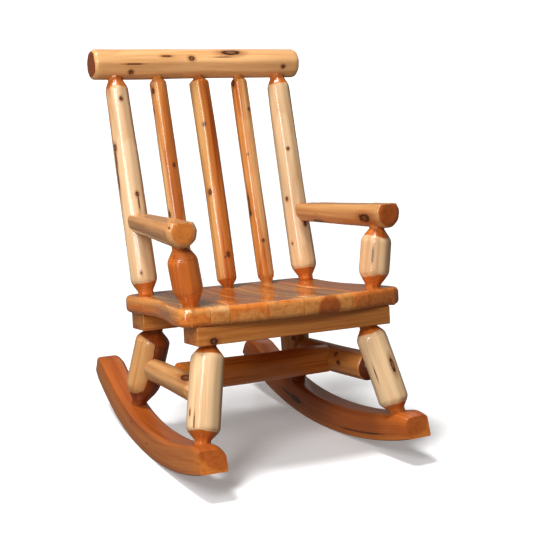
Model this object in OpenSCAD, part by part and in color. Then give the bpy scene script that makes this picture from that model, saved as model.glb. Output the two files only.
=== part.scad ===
// Log rocking chair: peeled cedar logs with coned round tenons, a plank seat on two cleats
// and a pair of sawn rockers. Millimetres, +Z up, the sitter faces -Y, left is -X.
// The upper parts are laid out square to the seat (seat frame: x across, y rearwards
// along the seat, z up from its top face) and pitched back together; the rockers stand
// in the ground frame, where z = 0 is the floor. Left and right are as seen from the front.

/* [Seat] */
// Width of the seat at its front corners
seat_w = 652; // [560:2:760]
// Half width of the seat at its waist
waist_half = 288; // [240:2:330]
// Distance from the waist to the middle of the front edge
seat_front = 322; // [280:2:380]
// Distance from the waist to the back edge
seat_back = 228; // [190:2:270]
// Thickness of the seat boards
seat_t = 48; // [32:1:60]
// How far the front edge bows forward in the middle
seat_bow = 32; // [0:2:50]
// Radius of the seat's front corners
corner_r = 34; // [15:1:60]
// Half width of the seat across the ears at its back
ear_half = 300; // [290:1:350]
// Radius of the rounded ears at the back of the seat
ear_r = 60; // [30:2:80]
// Depth of the hollow worked into the seat
dish_depth = 7; // [2:1:12]
// Radius across the hollow
dish_r = 205; // [120:5:240]
// Height of the seat's top face above the floor, at the waist
seat_z = 432; // [380:1:500]
// Distance of the waist ahead of the resting point, which lies under the centre of mass
seat_ahead = 26; // [0:0.5:60]
// Backward pitch of the seat, in degrees
seat_pitch = 6.7; // [3:0.1:10]
// Widths of the glued-up boards from the left, the last board takes the rest
board_widths = [75, 51, 105, 103, 149]; // [40:1:160]

/* [Cleats] */
// Length of the front cleat
front_cleat_l = 570; // [480:2:640]
// Length of the rear cleat
rear_cleat_l = 552; // [460:2:600]
// Width of both cleats, front to back
cleat_w = 92; // [70:1:110]
// Height of both cleats
cleat_h = 50; // [38:1:64]
// Middle of the front cleat, behind the waist of the seat
front_cleat_y = -244; // [-270:1:-200]
// Middle of the rear cleat, behind the waist of the seat
rear_cleat_y = 158; // [130:1:180]

/* [Back] */
// Length of the top rail
rail_l = 656; // [580:2:760]
// Diameter of the top rail
rail_d = 87; // [70:1:100]
// Height of the rail's axis above the seat
rail_height = 660; // [520:5:760]
// Recline of the back against the square of the seat, in degrees
back_recline = 12.1; // [5:0.1:16]
// Distance of the back posts' feet behind the waist
post_y = 129; // [115:1:150]
// Spacing of the two back posts at the seat
post_foot_gap = 514; // [440:2:560]
// Spacing of the two back posts at the rail
post_head_gap = 524; // [440:2:600]
// Diameter of the back posts at the seat
post_foot_d = 75; // [60:1:80]
// Diameter of the back posts at the rail
post_head_d = 66; // [54:1:78]
// Distance of the spindles' feet behind the posts' feet
spindle_set_back = 22; // [0:1:30]
// Spacing from one spindle to the next, at the seat
spindle_foot_gap = 128; // [110:1:140]
// Spacing from one spindle to the next, at the rail
spindle_head_gap = 131; // [110:1:145]
// Diameters of the left, centre and right spindles
spindle_d = [50, 58, 49]; // [44:1:64]

/* [Arms] */
// Height of the arm's axis above the seat, at the back post
arm_rear_height = 214; // [180:2:250]
// Heights of the arms' axes above the seat at their front ends: left, right
arm_front_height = [190, 201]; // [160:1:230]
// Spacing of the arms' axes at their front ends
arm_front_gap = 606; // [520:2:660]
// Distance of the arms' front ends ahead of the waist
arm_reach = 281; // [250:1:310]
// Diameter of the arms at the back
arm_rear_d = 70; // [50:1:76]
// Diameter of the arms at the front
arm_front_d = 81; // [70:1:96]
// Height of the flattened top above an arm's axis at its front end
arm_flat = 26; // [10:1:40]
// Slope of the flattened top down towards the back, against the arm's axis, in degrees
arm_flat_slope = 1; // [0.9:0.1:3]
// Distance of the arm posts ahead of the waist
arm_post_y = 229; // [200:1:245]
// Spacing of the arm posts' feet
arm_post_foot_gap = 544; // [500:2:580]
// Diameters of the left and right arm posts
arm_post_d = [79, 84]; // [66:1:92]

/* [Legs] */
// Diameters of the front legs, left and right
front_leg_d = [88, 83]; // [70:1:96]
// Diameters of the rear legs, left and right
rear_leg_d = [98, 87]; // [70:1:104]
// Spacing of the front legs at the cleat
front_leg_gap = 472; // [400:2:500]
// Spacing of the rear legs at the cleat
rear_leg_gap = 446; // [380:2:470]
// Station of the front feet along the rockers, ahead of the resting point
front_foot = 362; // [300:2:400]
// Station of the rear feet along the rockers, behind the resting point
rear_foot = 158; // [110:2:220]
// Diameters of the side stretchers, left and right
side_stretcher_d = [66, 80]; // [56:1:88]
// Height of the side stretchers' axis above the floor at the front legs
side_front_z = 241; // [220:2:260]
// Height of the side stretchers' axis above the floor at the rear legs
side_rear_z = 199; // [180:2:220]
// Diameter of the cross stretcher
cross_stretcher_d = 80; // [56:1:88]
// Place of the cross stretcher along the side stretchers, from the rear leg
cross_place = 210; // [160:5:260]

/* [Rockers] */
// Radius of the rocking edge in front of the resting point
rocker_front_r = 1320; // [1000:20:1800]
// Radius of the rocking edge behind the resting point
rocker_rear_r = 1020; // [800:20:1400]
// Depth of a rocker, top to rocking edge
rocker_t = 75; // [60:1:96]
// Width of a rocker across its rocking edge
rocker_w = 80; // [56:1:90]
// Spacing of the rockers' middles over the resting point
rocker_gap = 554; // [480:2:620]
// Angle that each rocker toes outwards at the front, in degrees
rocker_splay = 3; // [0:0.1:5]
// Distance of the legs' feet inside the rockers' middles
foot_inset = 6; // [0:1:12]
// Reach of the rockers ahead of the resting point
rocker_front = 456; // [420:2:520]
// Reach of the rockers behind the resting point
rocker_rear = 464; // [400:2:520]
// Rounding of the rockers' top edges
rocker_round = 24; // [10:1:30]
// Rounding of the rocking edge
rocker_edge = 5; // [2:1:10]
// Rounding of the upper corner at each end of a rocker
rocker_tip = 36; // [15:1:50]

/* [Joints] */
// Diameter of the large tenons: legs, posts and arm posts
tenon_d = 42; // [34:1:46]
// Diameter of the small tenons: spindles, arms and stretchers
small_tenon_d = 36; // [28:1:38]
// Diameter of a spindle's tenon
spindle_tenon_d = 32; // [25:1:38]
// Glue gap round a tenon, on the radius
glue_gap = 0.2; // [0.1:0.05:0.4]
// Room left past the end of a tenon
tenon_relief = 2; // [1:0.5:4]
// Depth of the tenons in the seat
seat_tenon = 34; // [20:1:38]
// Depth of the tenons in a cleat
cleat_tenon = 36; // [24:1:42]
// Depth of the tenons in a rocker
rocker_tenon = 36; // [24:1:50]
// How far a tenon reaches past the axis of the log that it enters
past_axis = 8; // [2:1:12]
// Diameter of the screws
screw_d = 5; // [4:0.5:6]
// Clearance round a screw, on the radius
screw_gap = 0.2; // [0.1:0.05:0.4]

/* [Hidden] */
$fn = 64;

post_d_at_arm = post_foot_d + (post_head_d - post_foot_d) * arm_rear_height / rail_height;

// Lengths of neck that show between a shoulder and the piece that it stands on
post_neck = 14;
rail_neck = 6;
spindle_neck = 6;
spindle_rail_neck = 2;
arm_neck = post_d_at_arm / 2 + 11;
arm_post_neck = 6;
leg_neck = 8;
neck_room = 6;

// Lengths of the cones at the two ends of each log, lower end first
post_cones = [30, 38];
spindle_cones = [18, 12];
arm_post_cones = [34, 30];
front_leg_cones = [26, 28];
rear_leg_cones = [48, 28];
stretcher_cone = 12;

// Rounding of the rail's ends and of an arm's front end
rail_round = 9;
arm_round = 13;
stretcher_neck = 10;

// The cross stretcher's body starts this far from the side stretcher's axis
cope_start = 18;

// Middle of the seat's hollow, ahead of the waist
dish_y = -60;

// Screws: countersunk heads, lengths and where their heads stand
head_d = 2 * screw_d;
head_h = screw_d * 0.6;
cleat_screw_l = 60;
cleat_screw_off = 30;
cleat_screw_z = 14 - seat_t - cleat_h;
arm_screw_l = 72;
arm_screw_start = 10 - post_d_at_arm / 2;
rocker_screw_l = 74;
rocker_screw_start = -rocker_tenon - 26;

LEFT = -1;
RIGHT = 1;
SIDES = [LEFT, RIGHT];

cream = [0.93, 0.79, 0.58];
tan_log = [0.82, 0.62, 0.38];
honey = [0.80, 0.50, 0.22];
heart = [0.68, 0.36, 0.14];
dark_heart = [0.55, 0.26, 0.11];
steel = [0.72, 0.72, 0.70];

// ---- Places ----

// A point of the seat frame in the ground frame
function from_seat(p) = [p.x,
                         p.y * cos(seat_pitch) + p.z * sin(seat_pitch) - seat_ahead,
                         seat_z - p.y * sin(seat_pitch) + p.z * cos(seat_pitch)];

function unit(v) = v / norm(v);
function pick(pair, side) = side == LEFT ? pair[0] : pair[len(pair) - 1];

// Radius of the rocking edge at a station s behind the resting point, and where a foot stands
// on a rocker's top there
function rocking_r(s) = s < 0 ? rocker_front_r : rocker_rear_r;
function rocker_top(side, s) = let (r = rocking_r(s), z = r - sqrt(pow(r - rocker_t, 2) - s * s))
    [side * (rocker_gap / 2 - foot_inset - s * sin(rocker_splay)), s * cos(rocker_splay), z];

// Back: feet in the seat, heads on the rail's axis
rail_y = post_y + rail_height * tan(back_recline);
rail_axis = from_seat([0, rail_y, rail_height]);
function post_foot(side) = from_seat([side * post_foot_gap / 2, post_y, 0]);
function post_head(side) = from_seat([side * post_head_gap / 2, rail_y, rail_height]);
function spindle_foot(i) = from_seat([(i - 1) * spindle_foot_gap, post_y + spindle_set_back, 0]);
function spindle_head(i) = from_seat([(i - 1) * spindle_head_gap, rail_y, rail_height]);

// Arms: from a point on the back post's axis to the front end
function post_at(side, h) = let (k = h / rail_height)
    post_foot(side) * (1 - k) + post_head(side) * k;
function arm_rear(side) = post_at(side, arm_rear_height);
function arm_tip(side) = from_seat([side * arm_front_gap / 2, -arm_reach,
                                    pick(arm_front_height, side)]);
function arm_post_foot(side) = from_seat([side * arm_post_foot_gap / 2, -arm_post_y, 0]);
// The arm post's head lies on the arm's axis, square above its foot
function arm_l(side) = norm(arm_tip(side) - arm_rear(side));
arm_rear_y = post_y + arm_rear_height * tan(back_recline);
arm_post_k = (arm_rear_y + arm_post_y) / (arm_rear_y + arm_reach);
arm_d_at_post = arm_rear_d + (arm_front_d - arm_rear_d) * arm_post_k;
function arm_post_head(side) = arm_rear(side) * (1 - arm_post_k) + arm_tip(side) * arm_post_k;

// Legs: from the middle of a cleat's underside to the rocker's top
cleat_under = -seat_t - cleat_h;
function front_top(side) = from_seat([side * front_leg_gap / 2, front_cleat_y, cleat_under]);
function rear_top(side) = from_seat([side * rear_leg_gap / 2, rear_cleat_y, cleat_under]);
function front_foot_at(side) = rocker_top(side, -front_foot);
function rear_foot_at(side) = rocker_top(side, rear_foot);
function at_height(a, b, z) = a + (b - a) * (z - a.z) / (b.z - a.z);
function side_front(side) = at_height(front_top(side), front_foot_at(side), side_front_z);
function side_rear(side) = at_height(rear_top(side), rear_foot_at(side), side_rear_z);
function cross_end(side) = side_rear(side) + unit(side_front(side) - side_rear(side)) * cross_place;

// The object's own frame has its origin under the middle of its outline
shift_y = (rocker_front - rocker_rear) / 2 * cos(rocker_splay);

// ---- Shapes ----

// Stands what is drawn along +Z from a to b
module along(a, b) {
    d = b - a;
    translate(a)
        rotate([0, acos(d.z / norm(d)), atan2(d.y, d.x)])
            children();
}

// Half section of a log with a tenon at each end. The shoulders' necks stand at s0 and s1,
// the tenons run t0 and t1 past them, and the cones rise to the body over their two lengths.
module log_section(s0, s1, d0, d1, neck, cones, t0, t1) {
    c0 = cones[0];
    c1 = cones[1];
    r0 = d0 / 2;
    r1 = d1 / 2;
    n = neck / 2;
    e0 = min(4, c0 / 3);
    e1 = min(4, c1 / 3);
    polygon([[0, s0 - t0], [n - 1, s0 - t0], [n, s0 - t0 + 1], [n, s0],
             [r0 - e0 / 2, s0 + c0 - e0], [r0, s0 + c0 + e0],
             [r1, s1 - c1 - e1], [r1 - e1 / 2, s1 - c1 + e1],
             [n, s1], [n, s1 + t1 - 1], [n - 1, s1 + t1], [0, s1 + t1]]);
}

// Round mortise on the line from a to b, between stations s and e along it
module mortise(a, b, s, e, d) {
    along(a, b)
        translate([0, 0, s])
            cylinder(h = e - s, d = d + 2 * glue_gap);
}

// Lays out a seat-frame shape in the ground frame
module in_seat_frame() {
    translate([0, -seat_ahead, seat_z])
        rotate([-seat_pitch, 0, 0])
            children();
}

// Puts a finished piece in the object's own frame
module placed() {
    translate([0, shift_y, 0])
        children();
}

// A screw standing along +Z with its head at the bottom
module screw(l) {
    cylinder(h = head_h, d1 = head_d, d2 = screw_d);
    cylinder(h = l, d = screw_d);
}

// The space that a screw takes: a bore for its head below, then its shank
module screw_space(l, bore) {
    translate([0, 0, -bore])
        cylinder(h = bore, d = head_d + 4 * screw_gap);
    cylinder(h = head_h + screw_gap, d1 = head_d + 4 * screw_gap, d2 = screw_d + 2 * screw_gap);
    cylinder(h = l + 1, d = screw_d + 2 * screw_gap);
}

// ---- Back ----

post_l = norm(post_head(RIGHT) - post_foot(RIGHT));
module back_post(side) {
    color(cream)
        placed()
            difference() {
                along(post_foot(side), post_head(side))
                    rotate_extrude()
                        log_section(post_neck, post_l - rail_d / 2 - rail_neck,
                                    post_foot_d, post_head_d, tenon_d, post_cones,
                                    post_neck + seat_tenon, rail_d / 2 + rail_neck + past_axis);
                mortise(arm_rear(side), arm_tip(side),
                        -past_axis - tenon_relief, post_foot_d, small_tenon_d);
                arm_screw_at(side)
                    screw_space(arm_screw_l, post_foot_d);
            }
}

module spindle(i, colour) {
    l = norm(spindle_head(i) - spindle_foot(i));
    color(colour)
        placed()
            along(spindle_foot(i), spindle_head(i))
                rotate_extrude()
                    log_section(spindle_neck, l - rail_d / 2 - spindle_rail_neck,
                                spindle_d[i], spindle_d[i], spindle_tenon_d, spindle_cones,
                                spindle_neck + seat_tenon, rail_d / 2 + spindle_rail_neck + past_axis);
}

module top_rail() {
    color(tan_log)
        placed()
            difference() {
                along(rail_axis - [rail_l / 2, 0, 0], rail_axis + [rail_l / 2, 0, 0])
                    rotate_extrude()
                        rail_section();
                for (side = SIDES)
                    mortise(post_foot(side), post_head(side),
                            post_l - rail_d, post_l + past_axis + tenon_relief, tenon_d);
                for (i = [0:2])
                    rail_mortise(spindle_foot(i), spindle_head(i), spindle_tenon_d);
            }
}

module rail_mortise(foot, head, d) {
    l = norm(head - foot);
    mortise(foot, head, l - rail_d, l + past_axis + tenon_relief, d);
}

module rail_section() {
    r = rail_d / 2;
    e = rail_round;
    polygon([[0, 0], [r - e, 0], [r - e / 3, e / 3], [r, e],
             [r, rail_l - e], [r - e / 3, rail_l - e / 3], [r - e, rail_l], [0, rail_l]]);
}

// ---- Arms ----

// Half section of an arm: a tenon and a square shoulder at the back, a rounded end at the front
module arm_section(l) {
    r1 = arm_front_d / 2;
    n = small_tenon_d / 2;
    e = arm_round;
    polygon([[0, -past_axis], [n - 1, -past_axis], [n, 1 - past_axis], [n, arm_neck],
             [arm_rear_d / 2, arm_neck], [r1, l - e], [0, l - e]]);
    translate([0, l - e])
        square([r1 - e, e]);
    translate([r1 - e, l - e])
        circle(r = e);
}

// What is planed off the top of an arm, in front of its shoulder
module arm_planing(l) {
    intersection() {
        translate([-arm_front_d, -arm_front_d, arm_neck])
            cube([2 * arm_front_d, 2 * arm_front_d, l]);
        translate([-arm_flat, 0, l])
            rotate([0, -arm_flat_slope, 0])
                translate([-arm_front_d, -arm_front_d, -2 * l])
                    cube([arm_front_d, 2 * arm_front_d, 3 * l]);
    }
}

module arm(side) {
    l = arm_l(side);
    post_l = arm_post_l(side);
    color(tan_log)
        placed()
            difference() {
                along(arm_rear(side), arm_tip(side))
                    difference() {
                        rotate_extrude()
                            arm_section(l);
                        arm_planing(l);
                    }
                mortise(arm_post_foot(side), arm_post_head(side), post_l - arm_front_d,
                        post_l + past_axis + tenon_relief, tenon_d);
                arm_screw_at(side)
                    screw_space(arm_screw_l, 1);
            }
}

function arm_post_l(side) = norm(arm_post_head(side) - arm_post_foot(side));
module arm_post(side, colour) {
    d = pick(arm_post_d, side);
    under = arm_d_at_post / 2 + arm_post_neck;
    color(colour)
        placed()
            along(arm_post_foot(side), arm_post_head(side))
                rotate_extrude()
                    log_section(arm_post_neck, arm_post_l(side) - under, d, d, tenon_d, arm_post_cones,
                                arm_post_neck + seat_tenon, under + past_axis);
}

// The arm's screw comes in from the back of the post
module arm_screw_at(side) {
    along(arm_rear(side), arm_tip(side))
        translate([0, 0, arm_screw_start])
            children();
}

module arm_screws() {
    color(steel)
        placed()
            for (side = SIDES)
                arm_screw_at(side)
                    screw(arm_screw_l);
}

// ---- Seat ----

function arc(c, r, from, to, n) = [for (k = [0:n]) let (a = from + (to - from) * k / n)
    c + r * [cos(a), sin(a)]];

// Right half of the seat's outline, from the middle of the front to the back
half_w = seat_w / 2;
bow_r = (half_w * half_w + seat_bow * seat_bow) / (2 * seat_bow);
corner_x = half_w - corner_r;
corner_y = bow_r - seat_front - sqrt(pow(bow_r - corner_r, 2) - corner_x * corner_x);
corner_a = -acos(corner_x / (bow_r - corner_r));
ear_y = seat_back - ear_r;
function front_edge() = arc([0, bow_r - seat_front], bow_r, -90, corner_a, 8);
function front_corner() = arc([corner_x, corner_y], corner_r, corner_a, 0, 6);
function swell(y, end, wide) = waist_half + (wide - waist_half) * (1 - cos(180 * y / end)) / 2;
function side_edge(from, to, end, wide) = [for (k = [1:9]) let (y = from + (to - from) * k / 10)
    [swell(y, end, wide), y]];
function ear() = arc([ear_half - ear_r, ear_y], ear_r, 0, 90, 8);
half_outline = concat(front_edge(), front_corner(), side_edge(corner_y, 0, corner_y, half_w),
                      [[waist_half, 0]], side_edge(0, ear_y, ear_y, ear_half), ear());
outline = concat(half_outline, [for (k = [len(half_outline) - 1:-1:1])
    [-half_outline[k].x, half_outline[k].y]]);

board_edges = [for (k = [0:len(board_widths) + 1])
    k > len(board_widths) ? half_w : -half_w + first_sum(board_widths, k)];
function first_sum(v, n) = n == 0 ? 0 : v[n - 1] + first_sum(v, n - 1);

// The hollow worked into the top: a shallow cap of a large sphere
dish_sphere_r = (dish_r * dish_r + dish_depth * dish_depth) / (2 * dish_depth);
module dish() {
    translate([0, dish_y, 0])
        rotate_extrude($fn = 96)
            intersection() {
                translate([0, dish_sphere_r - dish_depth])
                    circle(r = dish_sphere_r, $fn = 1440);
                translate([0, -dish_depth - 1])
                    square([dish_r + 3, dish_depth + 2]);
            }
}

module seat_mortises() {
    for (side = SIDES) {
        mortise(post_foot(side), post_head(side), -seat_tenon - tenon_relief, post_neck, tenon_d);
        mortise(arm_post_foot(side), arm_post_head(side),
                -seat_tenon - tenon_relief, arm_post_neck, tenon_d);
    }
    for (i = [0:2])
        mortise(spindle_foot(i), spindle_head(i),
                -seat_tenon - tenon_relief, spindle_neck, spindle_tenon_d);
}

// Board k, counted from 1 at the left
module seat_board(k, colour) {
    left = board_edges[k - 1];
    right = board_edges[k];
    color(colour)
        placed()
            difference() {
                in_seat_frame()
                    difference() {
                        intersection() {
                            translate([0, 0, -seat_t])
                                linear_extrude(seat_t)
                                    polygon(outline);
                            translate([left, -seat_front - 1, -seat_t])
                                cube([right - left, seat_front + seat_back + 2, seat_t]);
                        }
                        dish();
                        cleat_screw_places()
                            screw_space(cleat_screw_l, 1);
                    }
                seat_mortises();
            }
}

// ---- Cleats ----

module cleat(l, y) {
    translate([-l / 2, y - cleat_w / 2, cleat_under])
        cube([l, cleat_w, cleat_h]);
}

// One screw for each board in each cleat, clear of the leg tenons
function screw_x(k, l) = (max(board_edges[k], -l / 2) + min(board_edges[k + 1], l / 2)) / 2;
module cleat_screw_places() {
    for (k = [0:len(board_widths)]) {
        translate([screw_x(k, front_cleat_l), front_cleat_y - cleat_screw_off, cleat_screw_z])
            children();
        translate([screw_x(k, rear_cleat_l), rear_cleat_y + cleat_screw_off, cleat_screw_z])
            children();
    }
}

module cleat_with_bores(l, y) {
    color(honey)
        placed()
            difference() {
                in_seat_frame()
                    difference() {
                        cleat(l, y);
                        cleat_screw_places()
                            screw_space(cleat_screw_l, cleat_h);
                    }
                for (side = SIDES) {
                    leg_mortise(front_foot_at(side), front_top(side));
                    leg_mortise(rear_foot_at(side), rear_top(side));
                }
            }
}

module leg_mortise(foot, top) {
    l = norm(top - foot);
    mortise(foot, top, l - leg_neck - neck_room, l + cleat_tenon + tenon_relief, tenon_d);
}

module front_cleat() {
    cleat_with_bores(front_cleat_l, front_cleat_y);
}

module rear_cleat() {
    cleat_with_bores(rear_cleat_l, rear_cleat_y);
}

module cleat_screws() {
    color(steel)
        placed()
            in_seat_frame()
                cleat_screw_places()
                    screw(cleat_screw_l);
}

// ---- Legs and stretchers ----

// A leg from its foot on the rocker to its top under the cleat
module leg(foot, top, d, cones, side, colour) {
    l = norm(top - foot);
    color(colour)
        placed()
            difference() {
                along(foot, top)
                    difference() {
                        rotate_extrude()
                            log_section(leg_neck, l - leg_neck, d, d, tenon_d, cones,
                                        leg_neck + rocker_tenon, leg_neck + cleat_tenon);
                        translate([0, 0, rocker_screw_start])
                            screw_space(rocker_screw_l, 1);
                    }
                mortise(side_rear(side), side_front(side), -past_axis - tenon_relief,
                        side_l(side) + past_axis + tenon_relief, small_tenon_d);
            }
}

function side_l(side) = norm(side_front(side) - side_rear(side));
module side_stretcher(side, colour) {
    d = pick(side_stretcher_d, side);
    s0 = pick(rear_leg_d, side) / 2 + stretcher_neck;
    s1 = side_l(side) - pick(front_leg_d, side) / 2 - stretcher_neck;
    color(colour)
        placed()
            difference() {
                along(side_rear(side), side_front(side))
                    rotate_extrude()
                        log_section(s0, s1, d, d, small_tenon_d, [stretcher_cone, stretcher_cone],
                                    s0 + past_axis, side_l(side) - s1 + past_axis);
                cross_mortise();
            }
}

cross_l = norm(cross_end(RIGHT) - cross_end(LEFT));
module cross_mortise() {
    mortise(cross_end(LEFT), cross_end(RIGHT), -past_axis - tenon_relief,
            cross_l + past_axis + tenon_relief, small_tenon_d);
}

// The cross stretcher's ends are coped to the side stretchers
module cross_stretcher() {
    color(dark_heart)
        placed() {
            along(cross_end(LEFT), cross_end(RIGHT))
                translate([0, 0, -past_axis])
                    cylinder(h = cross_l + 2 * past_axis, d = small_tenon_d);
            difference() {
                along(cross_end(LEFT), cross_end(RIGHT))
                    translate([0, 0, cope_start])
                        cylinder(h = cross_l - 2 * cope_start, d = cross_stretcher_d);
                for (side = SIDES)
                    along(side_rear(side), side_front(side))
                        cylinder(h = side_l(side), d = pick(side_stretcher_d, side) + 2 * glue_gap);
            }
        }
}

// ---- Rockers ----

// Section of a rocker whose rocking edge has radius r
module rocker_section(r) {
    top_r = r - rocker_t;
    w = rocker_w / 2;
    f = rocker_round;
    e = rocker_edge;
    translate([top_r + f, -w])
        square([rocker_t - f - e, rocker_w]);
    translate([top_r, -w + f])
        square([f, rocker_w - 2 * f]);
    translate([r - e, -w + e])
        square([e, rocker_w - 2 * e]);
    for (m = SIDES) {
        translate([top_r + f, m * (w - f)])
            circle(r = f);
        translate([r - e, m * (w - e)])
            circle(r = e, $fn = 32);
    }
}

// One end of a rocker, from the resting point backwards
module rocker_end(r, reach) {
    turn = asin(reach / r);
    translate([0, 0, r])
        rotate([0, 90, 0])
            difference() {
                rotate_extrude(angle = turn, $fn = 360)
                    rocker_section(r);
                rotate([0, 0, turn])
                    tip_cutter(r - rocker_t);
            }
}

module rocker(side, colour) {
    color(colour)
        placed()
            difference() {
                translate([side * rocker_gap / 2, 0, 0])
                    rotate([0, 0, side * rocker_splay]) {
                        rocker_end(rocker_rear_r, rocker_rear);
                        mirror([0, 1, 0])
                            rocker_end(rocker_front_r, rocker_front);
                    }
                foot_bores(front_foot_at(side), front_top(side));
                foot_bores(rear_foot_at(side), rear_top(side));
            }
}

// Rounds the upper corner at a rocker's end, where its top has radius top_r
module tip_cutter(top_r) {
    translate([top_r, 0, 0])
        linear_extrude(rocker_w + 2, center = true)
            difference() {
                translate([-2, -rocker_tip])
                    square([rocker_tip + 2, rocker_tip + 1]);
                translate([rocker_tip, -rocker_tip])
                    circle(r = rocker_tip);
            }
}

// Mortise for a leg and the space for its screw
module foot_bores(foot, top) {
    mortise(foot, top, -rocker_tenon - tenon_relief, leg_neck + neck_room, tenon_d);
    along(foot, top)
        translate([0, 0, rocker_screw_start])
            screw_space(rocker_screw_l, rocker_t);
}

module rocker_screws() {
    color(steel)
        placed()
            for (side = SIDES) {
                along(front_foot_at(side), front_top(side))
                    translate([0, 0, rocker_screw_start])
                        screw(rocker_screw_l);
                along(rear_foot_at(side), rear_top(side))
                    translate([0, 0, rocker_screw_start])
                        screw(rocker_screw_l);
            }
}

// ---- Named pieces ----

module back_post_left() { back_post(LEFT); }
module back_post_right() { back_post(RIGHT); }
module spindle_left() { spindle(0, honey); }
module spindle_centre() { spindle(1, honey); }
module spindle_right() { spindle(2, tan_log); }
module arm_left() { arm(LEFT); }
module arm_right() { arm(RIGHT); }
module arm_post_left() { arm_post(LEFT, heart); }
module arm_post_right() { arm_post(RIGHT, cream); }
module seat_board_1() { seat_board(1, tan_log); }
module seat_board_2() { seat_board(2, honey); }
module seat_board_3() { seat_board(3, tan_log); }
module seat_board_4() { seat_board(4, honey); }
module seat_board_5() { seat_board(5, tan_log); }
module seat_board_6() { seat_board(6, honey); }
module leg_front_left() {
    leg(front_foot_at(LEFT), front_top(LEFT), front_leg_d[0], front_leg_cones, LEFT, cream);
}
module leg_front_right() {
    leg(front_foot_at(RIGHT), front_top(RIGHT), front_leg_d[1], front_leg_cones, RIGHT, cream);
}
module leg_rear_left() {
    leg(rear_foot_at(LEFT), rear_top(LEFT), rear_leg_d[0], rear_leg_cones, LEFT, honey);
}
module leg_rear_right() {
    leg(rear_foot_at(RIGHT), rear_top(RIGHT), rear_leg_d[1], rear_leg_cones, RIGHT, honey);
}
module side_stretcher_left() { side_stretcher(LEFT, tan_log); }
module side_stretcher_right() { side_stretcher(RIGHT, tan_log); }
module rocker_left() { rocker(LEFT, heart); }
module rocker_right() { rocker(RIGHT, heart); }

top_rail();
back_post_left();
back_post_right();
spindle_left();
spindle_centre();
spindle_right();
arm_left();
arm_right();
arm_post_left();
arm_post_right();
seat_board_1();
seat_board_2();
seat_board_3();
seat_board_4();
seat_board_5();
seat_board_6();
front_cleat();
rear_cleat();
leg_front_left();
leg_front_right();
leg_rear_left();
leg_rear_right();
side_stretcher_left();
side_stretcher_right();
cross_stretcher();
rocker_left();
rocker_right();
cleat_screws();
arm_screws();
rocker_screws();
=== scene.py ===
import math

import bmesh
import bpy
from mathutils import Matrix, Vector, noise


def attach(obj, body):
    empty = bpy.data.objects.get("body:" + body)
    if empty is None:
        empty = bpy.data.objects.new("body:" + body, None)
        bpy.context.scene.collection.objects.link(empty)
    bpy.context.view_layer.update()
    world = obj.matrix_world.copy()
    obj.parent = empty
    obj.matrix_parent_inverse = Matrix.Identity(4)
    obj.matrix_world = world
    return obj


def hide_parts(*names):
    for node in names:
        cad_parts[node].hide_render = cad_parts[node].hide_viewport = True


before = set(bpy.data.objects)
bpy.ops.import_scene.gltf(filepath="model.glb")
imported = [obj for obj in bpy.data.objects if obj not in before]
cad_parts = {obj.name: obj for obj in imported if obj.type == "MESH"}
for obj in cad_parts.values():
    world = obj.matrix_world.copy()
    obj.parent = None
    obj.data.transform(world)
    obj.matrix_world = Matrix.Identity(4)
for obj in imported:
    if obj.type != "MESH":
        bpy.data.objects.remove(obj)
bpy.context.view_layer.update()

# ---- Sizes of the chair, in metres. Left and right are as seen from the front ----

LEFT, RIGHT = -1, 1
SHIFT = -0.004
SEAT_AHEAD, SEAT_Z = 0.026, 0.432
SEAT_PITCH = math.radians(6.7)
SEAT_FRAME = Matrix.Translation((0, SHIFT - SEAT_AHEAD, SEAT_Z)) @ Matrix.Rotation(-SEAT_PITCH, 4, "X")
SEAT_T = 0.048
HALF_FRONT, WAIST, HALF_EARS = 0.326, 0.288, 0.300
SEAT_FRONT, SEAT_BACK, SEAT_BOW = -0.322, 0.228, 0.032
BOARD_WIDTHS = [0.075, 0.051, 0.105, 0.103, 0.149]
CLEAT_H, CLEAT_W = 0.050, 0.092
FRONT_CLEAT_L, REAR_CLEAT_L = 0.570, 0.552
FRONT_CLEAT_Y, REAR_CLEAT_Y = -0.244, 0.158
CLEAT_UNDER = -SEAT_T - CLEAT_H

BACK_RECLINE = math.tan(math.radians(12.1))
RAIL_L, RAIL_R, RAIL_HEIGHT = 0.656, 0.0435, 0.660
POST_Y, POST_FOOT_X, POST_HEAD_X = 0.129, 0.257, 0.262
RAIL_Y = POST_Y + RAIL_HEIGHT * BACK_RECLINE
SPINDLE_SET_BACK = 0.003
ARM_REAR_HEIGHT, ARM_FRONT_X, ARM_REACH = 0.214, 0.303, 0.281
ARM_FRONT_HEIGHT = {LEFT: 0.190, RIGHT: 0.201}
ARM_POST_X, ARM_POST_Y = 0.272, 0.229

FRONT_LEG_X, REAR_LEG_X = 0.236, 0.223
FRONT_FOOT, REAR_FOOT, FOOT_INSET = -0.362, 0.158, 0.006
STRETCHER_FRONT_Z, STRETCHER_REAR_Z = 0.241, 0.199
CROSS_PLACE, CROSS_R, CROSS_START = 0.210, 0.040, 0.022
ROCKER_FRONT_R, ROCKER_REAR_R = 1.320, 1.020
ROCKER_T, ROCKER_W = 0.075, 0.080
ROCKER_X, ROCKER_SPLAY = 0.277, math.radians(3.0)
ROCKER_FRONT, ROCKER_REAR = 0.456, 0.464
TENON_R, SMALL_TENON_R, SPINDLE_TENON_R = 0.021, 0.018, 0.016
HIDDEN_TENON = 0.018

UP = Vector((0, 0, 1))
FRONT = Vector((0, -1, 0))


def from_seat(x, y, z=0.0):
    """A point of the seat's own frame: x across, y rearwards along the seat, z up from its top."""
    return SEAT_FRAME @ Vector((x, y, z))


def rocking_radius(s):
    """Radius of a rocker's underside, s behind the line that it stands on."""
    return ROCKER_FRONT_R if s < 0 else ROCKER_REAR_R


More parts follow.
